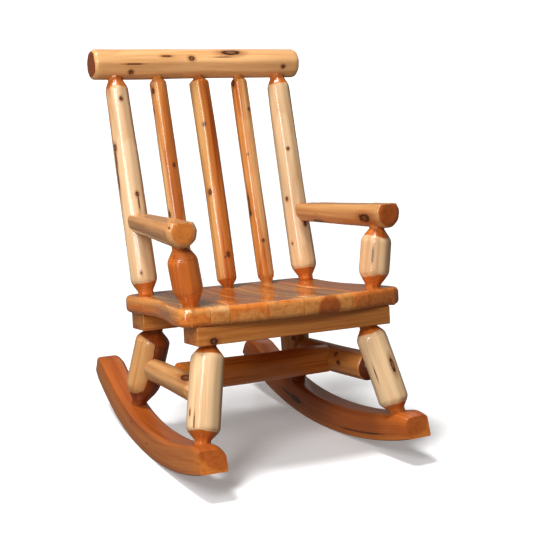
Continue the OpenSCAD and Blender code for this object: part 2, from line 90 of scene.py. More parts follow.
def rocker_top(side, s):
    """Place of a foot on a rocker's top, s behind the line that it stands on."""
    radius = rocking_radius(s)
    z = radius - math.sqrt((radius - ROCKER_T) ** 2 - s * s)
    x = ROCKER_X - FOOT_INSET - s * math.sin(ROCKER_SPLAY)
    return Vector((side * x, s * math.cos(ROCKER_SPLAY) + SHIFT, z))


def at_height(a, b, z):
    return a.lerp(b, (z - a.z) / (b.z - a.z))


def post_foot(side):
    return from_seat(side * POST_FOOT_X, POST_Y)


def post_head(side):
    return from_seat(side * POST_HEAD_X, RAIL_Y, RAIL_HEIGHT)


def arm_rear(side):
    return post_foot(side).lerp(post_head(side), ARM_REAR_HEIGHT / RAIL_HEIGHT)


def arm_tip(side):
    return from_seat(side * ARM_FRONT_X, -ARM_REACH, ARM_FRONT_HEIGHT[side])


def arm_post_foot(side):
    return from_seat(side * ARM_POST_X, -ARM_POST_Y)


def arm_post_head(side):
    rear_y = POST_Y + ARM_REAR_HEIGHT * BACK_RECLINE
    return arm_rear(side).lerp(arm_tip(side), (rear_y + ARM_POST_Y) / (rear_y + ARM_REACH))


def leg_ends(side, front):
    """Foot and top of a leg."""
    if front:
        return rocker_top(side, FRONT_FOOT), from_seat(side * FRONT_LEG_X, FRONT_CLEAT_Y, CLEAT_UNDER)
    return rocker_top(side, REAR_FOOT), from_seat(side * REAR_LEG_X, REAR_CLEAT_Y, CLEAT_UNDER)


def side_stretcher_ends(side):
    """Rear and front end of a side stretcher, on the legs' axes."""
    return (at_height(*leg_ends(side, False), STRETCHER_REAR_Z),
            at_height(*leg_ends(side, True), STRETCHER_FRONT_Z))


def cross_end(side):
    rear, front = side_stretcher_ends(side)
    return rear + (front - rear).normalized() * CROSS_PLACE


# ---- Shader groups ----


def new_group(name, inputs, outputs):
    group = bpy.data.node_groups.new(name, "ShaderNodeTree")
    for socket, kind, value in inputs:
        made = group.interface.new_socket(name=socket, in_out="INPUT", socket_type="NodeSocket" + kind)
        if value is not None:
            made.default_value = value
    for socket, kind in outputs:
        group.interface.new_socket(name=socket, in_out="OUTPUT", socket_type="NodeSocket" + kind)
    return group, group.nodes.new("NodeGroupInput").outputs, group.nodes.new("NodeGroupOutput").inputs


def put(value, socket, tree):
    if isinstance(value, bpy.types.NodeSocket):
        tree.links.new(value, socket)
    elif value is not None:
        socket.default_value = value


def math_node(tree, operation, a, b=None, c=None):
    node = tree.nodes.new("ShaderNodeMath")
    node.operation = operation
    for value, socket in zip((a, b, c), node.inputs):
        put(value, socket, tree)
    return node.outputs[0]


def vector_node(tree, operation, a, b=None, out=0):
    node = tree.nodes.new("ShaderNodeVectorMath")
    node.operation = operation
    put(a, node.inputs[0], tree)
    put(b, node.inputs[1], tree)
    return node.outputs[out]


def noise_node(tree, vector, scale, detail=2.0, rough=0.5):
    node = tree.nodes.new("ShaderNodeTexNoise")
    put(vector, node.inputs["Vector"], tree)
    node.inputs["Scale"].default_value = scale
    node.inputs["Detail"].default_value = detail
    node.inputs["Roughness"].default_value = rough
    return node


def blend_node(tree, factor, a, b, mode="MIX"):
    node = tree.nodes.new("ShaderNodeMix")
    node.data_type = "RGBA"
    node.blend_type = mode
    put(factor, node.inputs[0], tree)
    put(a, node.inputs[6], tree)
    put(b, node.inputs[7], tree)
    return node.outputs[2]


def ramp_node(tree, value, low, high, to_low=0.0, to_high=1.0):
    node = tree.nodes.new("ShaderNodeMapRange")
    node.interpolation_type = "SMOOTHSTEP"
    for number, socket in zip((value, low, high, to_low, to_high), node.inputs):
        put(number, socket, tree)
    return node.outputs[0]


def growth_group():
    """Solid wood round a pith that runs along Z: rings, heartwood, sapwood, streaks and pores."""
    group, into, out = new_group(
        "growth",
        [("Place", "Vector", None), ("Seed", "Float", 0.0), ("Heart Radius", "Float", 0.03),
         ("Heart Edge", "Float", 0.0012), ("Ring Gap", "Float", 0.0035), ("Wobble", "Float", 0.012),
         ("Sapwood", "Color", (0.8, 0.6, 0.4, 1)), ("Heartwood", "Color", (0.5, 0.25, 0.1, 1)),
         ("Ring Tone", "Color", (0.72, 0.5, 0.3, 1)), ("Streaks", "Float", 0.5), ("Lean", "Vector", None)],
        [("Color", "Color"), ("Height", "Float")])
    shift = group.nodes.new("ShaderNodeCombineXYZ")
    put(into["Seed"], shift.inputs[2], group)
    place = vector_node(group, "ADD", into["Place"], shift.outputs[0])
    slow = vector_node(group, "MULTIPLY", place, (1.0, 1.0, 0.22))
    wander = noise_node(group, slow, 9.0, 2.0).outputs["Color"]
    wander = vector_node(group, "SUBTRACT", wander, (0.5, 0.5, 0.5))
    push = group.nodes.new("ShaderNodeVectorMath")
    push.operation = "SCALE"
    put(wander, push.inputs[0], group)
    put(into["Wobble"], push.inputs["Scale"], group)
    flat = vector_node(group, "MULTIPLY", vector_node(group, "ADD", into["Place"], push.outputs[0]), (1, 1, 0))
    radius = vector_node(group, "LENGTH", flat, out=1)

    ring = math_node(group, "FRACT", math_node(group, "DIVIDE", radius, into["Ring Gap"]))
    late = math_node(group, "MULTIPLY", ramp_node(group, ring, 0.35, 0.92),
                     ramp_node(group, ring, 1.0, 0.93))
    patch = noise_node(group, vector_node(group, "MULTIPLY", place, (26, 26, 4.5)), 1.0, 3.0).outputs["Fac"]
    leaning = vector_node(group, "LENGTH", vector_node(group, "SUBTRACT", flat, into["Lean"]), out=1)
    edge = math_node(group, "MULTIPLY_ADD", math_node(group, "SUBTRACT", patch, 0.5), 0.008, leaning)
    heart = ramp_node(group, edge, math_node(group, "ADD", into["Heart Radius"], into["Heart Edge"]),
                      math_node(group, "SUBTRACT", into["Heart Radius"], into["Heart Edge"]))

    fibre = noise_node(group, vector_node(group, "MULTIPLY", place, (330, 330, 11)), 1.0, 3.0, 0.6).outputs["Fac"]
    streak = noise_node(group, vector_node(group, "MULTIPLY", place, (75, 75, 2.6)), 1.0, 3.0, 0.6).outputs["Fac"]
    cloud = noise_node(group, vector_node(group, "MULTIPLY", place, (14, 14, 3.0)), 1.0, 2.0).outputs["Fac"]

    colour = blend_node(group, heart, into["Sapwood"], into["Heartwood"])
    ring_depth = math_node(group, "MULTIPLY_ADD", heart, 0.4, 0.35)
    rings = blend_node(group, math_node(group, "MULTIPLY", late, ring_depth), (1, 1, 1, 1), into["Ring Tone"])
    colour = blend_node(group, 1.0, colour, rings, "MULTIPLY")
    band = math_node(group, "MULTIPLY", ramp_node(group, streak, 0.42, 0.66), into["Streaks"])
    colour = blend_node(group, band, colour, blend_node(group, 1.0, colour, (0.66, 0.42, 0.24, 1), "MULTIPLY"))
    tone = math_node(group, "MULTIPLY_ADD", fibre, 0.34, 0.83)
    tone = math_node(group, "MULTIPLY", tone, math_node(group, "MULTIPLY_ADD", cloud, 0.5, 0.75))
    shade = group.nodes.new("ShaderNodeCombineXYZ")
    for socket in shade.inputs:
        put(tone, socket, group)
    put(vector_node(group, "MULTIPLY", colour, shade.outputs[0]), out["Color"], group)
    put(math_node(group, "MULTIPLY_ADD", late, -0.25, fibre), out["Height"], group)
    return group


def knot_group():
    """One knot or crack at a point, added to those before it."""
    group, into, out = new_group(
        "knot",
        [("Place", "Vector", None), ("Centre", "Vector", None), ("Size", "Float", 0.006),
         ("Stretch", "Float", 0.75), ("Core", "Float", 0.0), ("Halo", "Float", 0.0)],
        [("Core", "Float"), ("Halo", "Float")])
    squeeze = group.nodes.new("ShaderNodeCombineXYZ")
    squeeze.inputs[0].default_value = 1.0
    squeeze.inputs[1].default_value = 1.0
    put(into["Stretch"], squeeze.inputs[2], group)
    away = vector_node(group, "SUBTRACT", into["Place"], into["Centre"])
    away = vector_node(group, "MULTIPLY", away, squeeze.outputs[0])
    reach = math_node(group, "DIVIDE", vector_node(group, "LENGTH", away, out=1), into["Size"])
    ragged = noise_node(group, into["Place"], 190.0, 2.0).outputs["Fac"]
    reach = math_node(group, "MULTIPLY_ADD", math_node(group, "SUBTRACT", ragged, 0.5), 0.55, reach)
    core = ramp_node(group, reach, 1.12, 0.8)
    eye = ramp_node(group, reach, 0.25, 0.75, 0.55, 1.0)
    put(math_node(group, "MAXIMUM", math_node(group, "MULTIPLY", core, eye), into["Core"]), out["Core"], group)
    put(math_node(group, "MAXIMUM", ramp_node(group, reach, 2.3, 0.9), into["Halo"]), out["Halo"], group)
    return group


GROWTH = growth_group()
KNOT = knot_group()


def tone(red, green, blue):
    """A colour as it looks on a screen, 0 to 255, made linear."""
    linear = [c / 3294.6 if c < 11 else ((c / 255 + 0.055) / 1.055) ** 2.4 for c in (red, green, blue)]
    return (*linear, 1.0)


CREAM = tone(230, 194, 150)
PALE_TAN = tone(226, 172, 114)
HONEY = tone(208, 134, 66)
ORANGE = tone(206, 114, 44)
GOLDEN = tone(218, 146, 76)
COPPER = tone(216, 126, 52)
AMBER = tone(192, 112, 46)
BURNT = tone(170, 90, 34)
RUSSET = tone(142, 68, 26)
DARK = tone(104, 48, 20)
RAIL_PALE = tone(240, 186, 126)
ARM_PALE, ARM_TAN = tone(212, 154, 98), tone(204, 148, 92)
ARM_END_LIGHT, ARM_END_DARK = tone(218, 132, 58), tone(184, 94, 34)
SPINDLE_PALE, SPINDLE_DEEP = tone(212, 158, 96), tone(190, 110, 44)
LEG_TAN, STRETCHER_TAN = tone(212, 156, 98), tone(194, 142, 88)
CROSS_OUTER, CROSS_INNER = tone(236, 148, 66), tone(236, 142, 62)
RINGS = (0.80, 0.60, 0.42, 1)
KNOT_HALO = tone(150, 78, 34)
KNOT_CORE = tone(58, 26, 14)

seeds = iter(range(1, 99))


def wood(name, sap, heart, heart_radius, knots=(), ring_gap=0.0035, wobble=0.012, streaks=0.5,
         edge=0.0012, gloss=0.32, lean=(0, 0, 0), coat=0.5):
    """Varnished wood. Each knot is its place, its size and how far it is squeezed along the grain."""
    material = bpy.data.materials.new(name)
    material.use_nodes = True
    tree = material.node_tree
    shader = tree.nodes["Principled BSDF"]
    place = tree.nodes.new("ShaderNodeAttribute")
    place.attribute_name = "grain"
    grown = tree.nodes.new("ShaderNodeGroup")
    grown.node_tree = GROWTH
    for socket, value in (("Place", place.outputs["Vector"]), ("Seed", next(seeds) * 1.37),
                          ("Heart Radius", heart_radius), ("Heart Edge", edge), ("Ring Gap", ring_gap),
                          ("Wobble", wobble), ("Sapwood", sap), ("Heartwood", heart),
                          ("Ring Tone", RINGS), ("Streaks", streaks), ("Lean", lean)):
        put(value, grown.inputs[socket], tree)
    core, halo = 0.0, 0.0
    for centre, size, stretch in knots:
        knot = tree.nodes.new("ShaderNodeGroup")
        knot.node_tree = KNOT
        for socket, value in (("Place", place.outputs["Vector"]), ("Centre", centre), ("Size", size),
                              ("Stretch", stretch), ("Core", core), ("Halo", halo)):
            put(value, knot.inputs[socket], tree)
        core, halo = knot.outputs["Core"], knot.outputs["Halo"]
    colour = grown.outputs["Color"]
    height = grown.outputs["Height"]
    if knots:
        colour = blend_node(tree, math_node(tree, "MULTIPLY", halo, 0.6), colour, KNOT_HALO)
        colour = blend_node(tree, core, colour, KNOT_CORE)
        height = math_node(tree, "MULTIPLY_ADD", core, -0.8, height)
    bump = tree.nodes.new("ShaderNodeBump")
    bump.inputs["Strength"].default_value = 0.35
    bump.inputs["Distance"].default_value = 0.0006
    put(height, bump.inputs["Height"], tree)
    put(colour, shader.inputs["Base Color"], tree)
    put(bump.outputs[0], shader.inputs["Normal"], tree)
    put(math_node(tree, "MULTIPLY_ADD", grown.outputs["Height"], 0.12, gloss), shader.inputs["Roughness"], tree)
    shader.inputs["Coat Weight"].default_value = coat
    shader.inputs["Specular IOR Level"].default_value = 0.25
    shader.inputs["Coat Roughness"].default_value = 0.11
    shader.inputs["Coat IOR"].default_value = 1.5
    return material


def screw_steel():
    material = bpy.data.materials.new("screw_steel")
    material.use_nodes = True
    tree = material.node_tree
    shader = tree.nodes["Principled BSDF"]
    place = tree.nodes.new("ShaderNodeTexCoord").outputs["Object"]
    grain = noise_node(tree, place, 900.0, 2.0).outputs["Fac"]
    put(blend_node(tree, grain, (0.36, 0.35, 0.33, 1), (0.62, 0.61, 0.58, 1)), shader.inputs["Base Color"], tree)
    put(math_node(tree, "MULTIPLY_ADD", grain, 0.25, 0.22), shader.inputs["Roughness"], tree)
    shader.inputs["Metallic"].default_value = 1.0
    return material


# ---- Making and placing pieces ----

FACETS, FACET_DEPTH, SWELL = 9, 0.0005, 0.0016
CONE = ((0.70, 0.26), (0.92, 0.09), (1.10, 0.02), (1.35, 0.0))


def keep_grain(bm, turn=Matrix.Identity(4)):
    """Notes where each point of the wood is, with the pith along Z, before the piece is bent or placed."""
    layer = bm.verts.layers.float_vector.new("grain")
    for vert in bm.verts:
        vert[layer] = turn @ vert.co


def finish_piece(node, bm, material, place, flat_above=None):
    """Puts a made form in its place instead of its node. Edges sharper than flat_above degrees stay crisp."""
    bm.transform(place)
    bmesh.ops.recalc_face_normals(bm, faces=bm.faces[:])
    mesh = bpy.data.meshes.new(node + "_wood")
    for face in bm.faces:
        face.smooth = True
    bm.to_mesh(mesh)
    bm.free()
    mesh.materials.append(material)
    if flat_above is not None:
        mesh.set_sharp_from_angle(angle=math.radians(flat_above))
    piece = bpy.data.objects.new(node + "_wood", mesh)
    bpy.context.collection.objects.link(piece)
    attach(piece, "root")
    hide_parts(node)


def lathe(points, turns=56, gap=0.012):
    """A closed round form from its half outline, given as places along Z and radii."""
    bm = bmesh.new()
    verts = [bm.verts.new((radius, 0, z)) for z, radius in points]
    for pair in zip(verts, verts[1:]):
        bm.edges.new(pair)
    while long := [e for e in bm.edges if e.calc_length() > gap]:
        bmesh.ops.subdivide_edges(bm, edges=long, cuts=1)
    bmesh.ops.spin(bm, geom=bm.verts[:] + bm.edges[:], cent=(0, 0, 0), axis=(0, 0, 1),
                   angle=2 * math.pi, steps=turns, use_merge=True)
    bmesh.ops.remove_doubles(bm, verts=bm.verts[:], dist=1e-6)
    return bm


def hand_peeled(bm, seed, bend=0.0015, length=0.5):
    """Gives a turned form the shallow facets, swellings and slight bend of a peeled pole."""
    off = Vector((seed * 3.1, seed * 1.7, seed * 5.3))
    for vert in bm.verts:
        x, y, z = vert.co
        radius = math.hypot(x, y)
        if radius < 1e-4:
            continue
        around = math.atan2(y, x)
        swell = noise.noise(Vector((x * 16, y * 16, z * 5)) + off) * SWELL
        facet = math.cos(around * FACETS + 2.5 * noise.noise(Vector((0, 0, z * 3)) + off)) * FACET_DEPTH
        grow = 1 + (swell + facet) / max(radius, 0.02)
        sway = bend * math.sin(math.pi * min(max(z / length, 0), 1))
        vert.co = (x * grow + sway * math.cos(seed), y * grow + sway * math.sin(seed), z)


def log_frame(a, b, facing):
    """Z runs from a to b, and X is the given direction squared up to it."""
    along = (b - a).normalized()
    ahead = (facing - facing.dot(along) * along).normalized()
    turn = Matrix((ahead, along.cross(ahead), along)).transposed().to_4x4()
    return Matrix.Translation(a) @ turn


def tenoned(length, low, high, r0, r1, neck, cones):
    """Half outline of a log: a neck at each end, a cone up to the body, and hidden tenons."""
    z0, z1 = low, length - high
    rise = [(z0 + place * cones[0], r0 - drop * (r0 - neck)) for place, drop in CONE]
    fall = [(z1 - place * cones[1], r1 - drop * (r1 - neck)) for place, drop in reversed(CONE)]
    return [(z0 - HIDDEN_TENON, 0), (z0 - HIDDEN_TENON, neck), (z0, neck), *rise,
            *fall, (z1, neck), (z1 + HIDDEN_TENON, neck), (z1 + HIDDEN_TENON, 0)]


def on_log(z, around, radius):
    """A point on a log: its place along it, and its turn in degrees from the log's facing side."""
    angle = math.radians(around)
    return (radius * math.cos(angle), radius * math.sin(angle), z)


def pole(node, a, b, low, high, r0, r1, neck, cones, facing, material, slot):
    """A log from a to b. Its necks start low from a and high from b, and its body tapers from r0 to r1."""
    length = (b - a).length
    bm = lathe(tenoned(length, low, high, r0, r1, neck, cones))
    keep_grain(bm)
    hand_peeled(bm, next(seeds), length=length)
    finish_piece(node, bm, material, log_frame(a, b, facing))


def on_pole(marks, radius):
    """Knots as (place along, turn, size, squeeze) on a pole of one radius."""
    return [(on_log(z, around, radius), size, stretch) for z, around, size, stretch in marks]


# ---- Back ----

POST_FOOT_R, POST_HEAD_R = 0.0375, 0.033
POSTS = ((LEFT, "back_post_left",
          [(0.565, -5, 0.0055, 0.8), (0.428, -76, 0.006, 0.5), (0.395, -80, 0.004, 0.15),
           (0.286, 5, 0.0055, 0.8), (0.262, 7, 0.0022, 0.10), (0.062, -27, 0.0035, 0.5),
           (0.34, -84, 0.004, 0.12)]),
         (RIGHT, "back_post_right",
          [(0.398, -21, 0.0045, 0.9), (0.247, -64, 0.0045, 0.7), (0.165, 11, 0.0055, 0.7),
           (0.019, -35, 0.004, 0.7), (0.111, -70, 0.003, 0.6)]))
for side, node, marks in POSTS:
    pole(node, post_foot(side), post_head(side), 0.014, RAIL_R + 0.004, POST_FOOT_R, POST_HEAD_R,
         TENON_R, (0.030, 0.026), FRONT,
         wood(node, CREAM, ORANGE, 0.0325, on_pole(marks, 0.035), streaks=0.22), "cream_log")

SPINDLES = (("spindle_left", -0.128, -0.131, 0.025, PALE_TAN, HONEY, 0.0252, (0.004, 0.004, 0), "heart_log",
             [(0.591, -67, 0.005, 0.6), (0.534, -95, 0.005, 0.6), (0.366, 9, 0.005, 0.8),
              (0.225, -80, 0.005, 0.5)]),
            ("spindle_centre", 0.0, 0.0, 0.029, SPINDLE_PALE, SPINDLE_DEEP, 0.0305, (0.0035, 0.006, 0),
             "honey_log",
             [(0.484, -30, 0.005, 0.8), (0.282, -55, 0.0065, 0.8), (0.093, 2, 0.006, 0.7),
              (0.086, -17, 0.0025, 0.7)]),
            ("spindle_right", 0.128, 0.131, 0.0245, PALE_TAN, HONEY, 0.0215, (0.002, -0.006, 0), "honey_log",
             [(0.612, -72, 0.006, 0.5), (0.526, 24, 0.004, 0.8), (0.389, -33, 0.003, 0.8),
              (0.213, -82, 0.006, 0.7), (0.24, -80, 0.004, 0.12), (0.126, -11, 0.0045, 0.9)]))
for node, foot_x, head_x, radius, sap, heart, heart_radius, lean, slot, marks in SPINDLES:
    pole(node, from_seat(foot_x, POST_Y + SPINDLE_SET_BACK), from_seat(head_x, RAIL_Y, RAIL_HEIGHT),
         0.006, RAIL_R + 0.002, radius, radius, SPINDLE_TENON_R, (0.018, 0.012), FRONT,
         wood(node, sap, heart, heart_radius, on_pole(marks, radius), streaks=0.8, edge=0.0015, lean=lean), slot)

RAIL_MARKS = [(0.107, 118, 0.0065, 0.9), (0.297, 66, 0.0075, 0.8), (0.598, 102, 0.006, 0.9),
              (0.219, 56, 0.003, 0.2), (0.428, 40, 0.011, 0.35), (0.115, 87, 0.002, 0.08),
              (0.40, 62, 0.0016, 0.06)]
rail_a, rail_b = (from_seat(x, RAIL_Y, RAIL_HEIGHT) for x in (-RAIL_L / 2, RAIL_L / 2))
rail_end = [(0, 0.034), (0.0018, 0.0385), (0.005, 0.0415), (0.011, RAIL_R)]
bm = lathe([(0, 0)] + rail_end + [(RAIL_L - z, r) for z, r in reversed(rail_end)] + [(RAIL_L, 0)], turns=72)
keep_grain(bm)
hand_peeled(bm, next(seeds), bend=0.002, length=RAIL_L)
finish_piece("top_rail", bm,
             wood("top_rail", RAIL_PALE, RUSSET, 0.037, on_pole(RAIL_MARKS, RAIL_R), streaks=0.3),
             log_frame(rail_a, rail_b, UP), 50)

# ---- Arms ----

ARM_REAR_R, ARM_FRONT_R, ARM_SHOULDER = 0.035, 0.0405, 0.0471
ARM_FLAT, ARM_FLAT_SLOPE = 0.026, math.tan(math.radians(1.0))
ARM_CROWN, ARM_UNDER, ARM_POST_NECK = 0.0022, 0.039, 0.006
ARMS = ((LEFT, "arm_left", ARM_PALE, ARM_END_LIGHT, 0.0285, [(0.459, 165, 0.0016, 1.0), (0.448, 68, 0.003, 0.3)]),
        (RIGHT, "arm_right", ARM_TAN, ARM_END_DARK, 0.0345,
         [(0.395, 108, 0.013, 0.5), (0.41, 112, 0.007, 0.9), (0.16, 100, 0.003, 0.8), (0.15, 150, 0.012, 0.4)]))


def arm(side, node, sap, heart, heart_radius, marks):
    """A tapered log with a square shoulder at the back, a rounded front end and a flat, slightly hollow top."""
    a, b = arm_rear(side), arm_tip(side)
    length = (b - a).length
    r0, r1, neck = ARM_REAR_R, ARM_FRONT_R, ARM_SHOULDER
    bm = lathe([(neck - HIDDEN_TENON, 0), (neck - HIDDEN_TENON, SMALL_TENON_R), (neck, SMALL_TENON_R),
                (neck, r0 - 0.005), (neck + 0.002, r0 - 0.0015), (neck + 0.006, r0),
                (length - 0.014, r1), (length - 0.007, r1 - 0.0018), (length - 0.002, r1 - 0.006),
                (length, r1 - 0.012), (length, 0)], turns=72, gap=0.009)
    keep_grain(bm)
    grain = bm.verts.layers.float_vector["grain"]
    for vert in bm.verts:
        widen = r1 / (r0 + (r1 - r0) * vert.co.z / length)
        vert[grain] = (vert.co.x * widen, vert.co.y * widen, vert.co.z)
    hand_peeled(bm, next(seeds), length=length)
    for vert in bm.verts:
        flat = ARM_FLAT - (length - vert.co.z) * ARM_FLAT_SLOPE
        over = vert.co.x - flat
        if over > 0 and vert.co.z >= neck:
            across = vert.co.y / r1
            vert.co.x = flat + 0.08 * over - ARM_CROWN * (1 - across * across)
    finish_piece(node, bm, wood(node, sap, heart, heart_radius, on_pole(marks, 0.036), streaks=0.35),
                 log_frame(a, b, UP), 50)


for values in ARMS:
    arm(*values)

ARM_POSTS = ((LEFT, "arm_post_left", 0.0395, ORANGE, ORANGE, 0.05, "heart_log", [(0.151, 12, 0.012, 0.9)]),
             (RIGHT, "arm_post_right", 0.042, CREAM, ORANGE, 0.0365, "cream_log", [(0.087, -44, 0.002, 0.1)]))
for side, node, radius, sap, heart, heart_radius, slot, marks in ARM_POSTS:
    pole(node, arm_post_foot(side), arm_post_head(side), ARM_POST_NECK, ARM_UNDER + ARM_POST_NECK,
         radius, radius, TENON_R, (0.034, 0.030), FRONT,
         wood(node, sap, heart, heart_radius, on_pole(marks, radius), streaks=0.6), slot)

# ---- Seat ----

CORNER_R, EAR_R = 0.034, 0.060
DISH_DEPTH, DISH_R, DISH_Y, DISH_SKIN = 0.007, 0.205, -0.060, 0.004
SEAT_ROUND, SEAM_ROUND, GROOVE = 0.013, 0.0008, 0.0004
PAST_SEAT = 0.36
LENGTHWISE, CROSSWISE = 28, 7


def arc(centre, radius, start, stop, steps):
    turns = [math.radians(start + (stop - start) * k / steps) for k in range(steps + 1)]
    return [Vector((centre[0] + radius * math.cos(t), centre[1] + radius * math.sin(t))) for t in turns]


def seat_outline():
    """Right half of the outline from the middle of the front to the back, and its mirror image."""
    bow = (HALF_FRONT ** 2 + SEAT_BOW ** 2) / (2 * SEAT_BOW)
    corner_x = HALF_FRONT - CORNER_R
    corner_y = bow + SEAT_FRONT - math.sqrt((bow - CORNER_R) ** 2 - corner_x ** 2)
    corner_a = -math.degrees(math.acos(corner_x / (bow - CORNER_R)))
    ear_y = SEAT_BACK - EAR_R

    def swell(y, end, wide):
        return Vector((WAIST + (wide - WAIST) * (1 - math.cos(math.pi * y / end)) / 2, y))

    half = arc((0, bow + SEAT_FRONT), bow, -90, corner_a, 26)
    half += arc((corner_x, corner_y), CORNER_R, corner_a, 0, 10)
    half += [swell(corner_y * (1 - k / 24), corner_y, HALF_FRONT) for k in range(1, 24)]
    half += [swell(ear_y * k / 20, ear_y, HALF_EARS) for k in range(20)]
    half += arc((HALF_EARS - EAR_R, ear_y), EAR_R, 0, 90, 14)
    return half + [Vector((-p.x, p.y)) for p in reversed(half[1:])]


def seat_top(x, y):
    """Depth of the shallow hollow in the seat's top."""
    away = math.hypot(x, y - DISH_Y) / DISH_R
    return -DISH_DEPTH * max(0.0, 1 - away * away) ** 1.3


def seat_blank():
    """The whole seat in the seat's own frame, before it is parted into its boards."""
    bm = bmesh.new()
    rim = [bm.verts.new((p.x, p.y, -SEAT_T)) for p in seat_outline()]
    floor = bm.faces.new(rim)
    walls = bmesh.ops.extrude_face_region(bm, geom=[floor])
    top = [g for g in walls["geom"] if isinstance(g, bmesh.types.BMFace)]
    bmesh.ops.translate(bm, vec=(0, 0, SEAT_T), verts=top[0].verts[:])
    bmesh.ops.recalc_face_normals(bm, faces=bm.faces[:])
    rims = [e for e in bm.edges if len({round(v.co.z, 4) for v in e.verts}) == 1]
    bmesh.ops.bevel(bm, geom=rims, offset=SEAT_ROUND, offset_type="OFFSET", segments=5, profile=0.5,
                    affect="EDGES", material=-1)
    return bm


def cut_across(bm, at, facing, clear=False):
    """Cuts the board at a point along a direction, and can clear away what lies past it."""
    return bmesh.ops.bisect_plane(bm, geom=bm.verts[:] + bm.edges[:] + bm.faces[:], dist=1e-6,
                                  plane_co=at, plane_no=facing, clear_outer=clear)


def seat_board(node, low, high, sap, heart, heart_radius, pith):
    """One board of the seat between two seams. Its pith runs along Y at the given height."""
    bm = seat_blank()
    for at, outward in ((low, -1), (high, 1)):
        cut = cut_across(bm, (at, 0, 0), (outward, 0, 0), clear=True)
        rim = [g for g in cut["geom_cut"] if isinstance(g, bmesh.types.BMEdge)]
        if rim:
            bmesh.ops.contextual_create(bm, geom=rim)
    seams = [e for e in bm.edges if all(abs(v.co.x - low) < 1e-5 for v in e.verts)
             or all(abs(v.co.x - high) < 1e-5 for v in e.verts)]
    if seams:
        bmesh.ops.bevel(bm, geom=seams, offset=SEAM_ROUND, offset_type="OFFSET", segments=2, profile=0.5,
                        affect="EDGES", material=-1)
    for n in range(1, LENGTHWISE):
        cut_across(bm, (0, SEAT_FRONT + (SEAT_BACK - SEAT_FRONT) * n / LENGTHWISE, 0), (0, 1, 0))
    for n in range(1, CROSSWISE):
        cut_across(bm, (low + (high - low) * n / CROSSWISE, 0, 0), (1, 0, 0))
    bmesh.ops.triangulate(bm, faces=[f for f in bm.faces if len(f.verts) > 4])
    middle = (max(low, -HALF_FRONT) + min(high, HALF_FRONT)) / 2
    keep_grain(bm, Matrix(((1, 0, 0, -middle), (0, 0, 1, -pith), (0, 1, 0, 0), (0, 0, 0, 1))))
    for vert in bm.verts:
        if vert.co.z > -DISH_SKIN:
            vert.co.z += seat_top(vert.co.x, vert.co.y)
    material = wood(node, sap, heart, heart_radius, ring_gap=0.0048, wobble=0.02, streaks=0.55,
                    edge=0.006, gloss=0.22, coat=0.95)
    finish_piece(node, bm, material, SEAT_FRAME, 40)


SEAMS = [-HALF_FRONT + sum(BOARD_WIDTHS[:k + 1]) for k in range(len(BOARD_WIDTHS))]
BOARD_EDGES = [-PAST_SEAT, *SEAMS, PAST_SEAT]
BOARD_WOODS = ((GOLDEN, COPPER, 0.055, -0.07), (PALE_TAN, GOLDEN, 0.05, -0.06), (COPPER, GOLDEN, 0.06, -0.075),
               (GOLDEN, COPPER, 0.06, 0.05), (GOLDEN, BURNT, 0.034, -0.034), (COPPER, AMBER, 0.075, -0.04))
for k, woods in enumerate(BOARD_WOODS):
    seat_board(f"seat_board_{k + 1}", BOARD_EDGES[k] + GROOVE, BOARD_EDGES[k + 1] - GROOVE, *woods)

# ---- Cleats ----

PITH_BEHIND, PITH_BELOW = 0.02, 0.09

def cleat(node, length, y, sap, heart, knots):
    bm = bmesh.new()
    bmesh.ops.create_cube(bm, size=1.0)
    bmesh.ops.scale(bm, vec=(length, CLEAT_W, CLEAT_H), verts=bm.verts[:])
    bmesh.ops.bevel(bm, geom=bm.edges[:], offset=0.003, offset_type="OFFSET", segments=3, profile=0.5,
                    affect="EDGES", material=-1)
    bmesh.ops.translate(bm, vec=(0, y, -SEAT_T - CLEAT_H / 2), verts=bm.verts[:])
    keep_grain(bm, Matrix(((0, 1, 0, -y - PITH_BEHIND), (0, 0, 1, SEAT_T + PITH_BELOW), (1, 0, 0, 0), (0, 0, 0, 1))))
    finish_piece(node, bm, wood(node, sap, heart, 0.055, knots, ring_gap=0.004, wobble=0.03, streaks=0.6,
                                edge=0.004), SEAT_FRAME, 40)


CLEAT_FACE = -CLEAT_W / 2 - PITH_BEHIND
cleat("front_cleat", FRONT_CLEAT_L, FRONT_CLEAT_Y, HONEY, ORANGE,
      [((CLEAT_FACE, 0.050, -0.24), 0.009, 0.8), ((CLEAT_FACE, 0.050, -0.235), 0.004, 0.8)])
cleat("rear_cleat", REAR_CLEAT_L, REAR_CLEAT_Y, HONEY, AMBER, [])

# ---- Legs and stretchers ----

LEGS = (("leg_front_left", LEFT, True, 0.044, CREAM, ORANGE, 0.0385, (0, 0, 0), "cream_log", 0.25,
         [(0.073, -80, 0.0025, 0.3), (0.05, -60, 0.0018, 0.1)]),
        ("leg_front_right", RIGHT, True, 0.0415, CREAM, ORANGE, 0.036, (0, 0, 0), "cream_log", 0.25,
         [(0.128, 17, 0.0065, 0.3), (0.119, -60, 0.0015, 0.08)]),
        ("leg_rear_left", LEFT, False, 0.049, LEG_TAN, RUSSET, 0.055, (0.0, 0.016, 0), "honey_log", 0.5,
         [(0.190, -11, 0.002, 0.12), (0.165, -9, 0.0016, 0.1)]),
        ("leg_rear_right", RIGHT, False, 0.0435, HONEY, RUSSET, 0.038, (0, 0, 0), "tan_log", 0.8,
         [(0.169, -32, 0.006, 0.9), (0.154, 12, 0.0016, 0.08)]))
for node, side, front, radius, sap, heart, heart_radius, lean, slot, streaks, marks in LEGS:
    foot, top = leg_ends(side, front)
    pole(node, foot, top, 0.008, 0.008, radius, radius, TENON_R, (0.026 if front else 0.048, 0.028), FRONT,
         wood(node, sap, heart, heart_radius, on_pole(marks, radius), streaks=streaks, lean=lean), slot)

